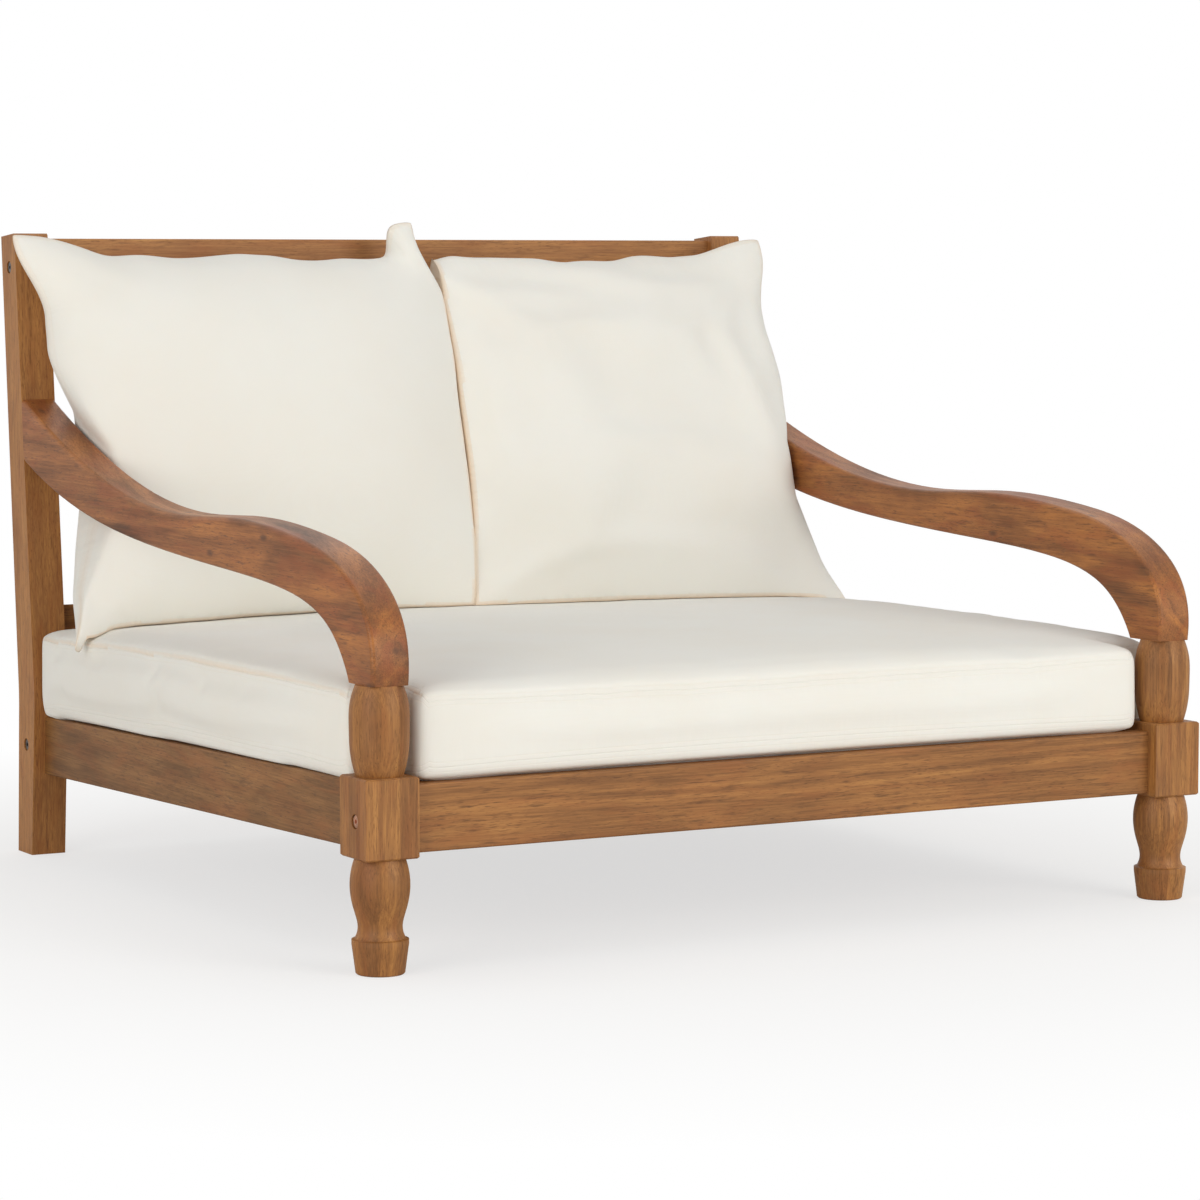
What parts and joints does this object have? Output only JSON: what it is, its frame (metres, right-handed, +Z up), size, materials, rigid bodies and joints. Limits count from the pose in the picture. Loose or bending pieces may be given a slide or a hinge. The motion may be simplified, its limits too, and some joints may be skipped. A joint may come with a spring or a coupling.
{
  "type": "patio loveseat",
  "caption": "Slatted wooden patio loveseat with turned front legs, swept arms, a T-shaped seat cushion and loose back pillows.",
  "frame": {"origin": "on the floor under the middle of the frame's outer box", "axes": "+X along the seat's width, to the right as it is seen from the front; +Y from the front towards the back; +Z up"},
  "size_m": [1.2202, 1.2077, 0.8798],
  "materials": {
    "oiled_wood": "satin",
    "dowel_wood": "matte",
    "bronzed_bolts": "satin",
    "steel_hardware": "satin",
    "cushion_cloth": "matte"
  },
  "bodies": {
    "root": {"arm_left": "oiled_wood", "arm_right": "oiled_wood", "back_rail": "oiled_wood", "back_slat_1": "oiled_wood", "back_slat_2": "oiled_wood", "back_slat_3": "oiled_wood", "back_slat_4": "oiled_wood", "back_slat_5": "oiled_wood", "back_slat_6": "oiled_wood", "back_slat_7": "oiled_wood", "back_slat_8": "oiled_wood", "back_slat_9": "oiled_wood", "barrel_nuts": "steel_hardware", "connector_bolts": "bronzed_bolts", "corner_block_front_left": "oiled_wood", "corner_block_front_right": "oiled_wood", "corner_block_rear_left": "oiled_wood", "corner_block_rear_right": "oiled_wood", "front_leg_left": "oiled_wood", "front_leg_right": "oiled_wood", "front_rail": "oiled_wood", "lower_back_rail": "oiled_wood", "rail_dowels": "dowel_wood", "rear_post_left": "oiled_wood", "rear_post_right": "oiled_wood", "seat_beam": "oiled_wood", "seat_cushion": "cushion_cloth", "seat_slat_1": "oiled_wood", "seat_slat_10": "oiled_wood", "seat_slat_11": "oiled_wood", "seat_slat_2": "oiled_wood", "seat_slat_3": "oiled_wood", "seat_slat_4": "oiled_wood", "seat_slat_5": "oiled_wood", "seat_slat_6": "oiled_wood", "seat_slat_7": "oiled_wood", "seat_slat_8": "oiled_wood", "seat_slat_9": "oiled_wood", "side_rail_left": "oiled_wood", "side_rail_right": "oiled_wood", "slat_cleat_left": "oiled_wood", "slat_cleat_right": "oiled_wood", "slat_screws": "steel_hardware", "top_rail": "oiled_wood"},
    "pillow_left": {"back_pillow_left": "cushion_cloth"},
    "pillow_right": {"back_pillow_right": "cushion_cloth"}
  },
  "joints": [
    {"name": "pillow_lift_left", "type": "slide", "parent": "root", "child": "pillow_left", "axis": [0, 0, 1], "range_m": [0, 0.36]},
    {"name": "pillow_lift_right", "type": "slide", "parent": "root", "child": "pillow_right", "axis": [0, 0, 1], "range_m": [0, 0.36]}
  ]
}
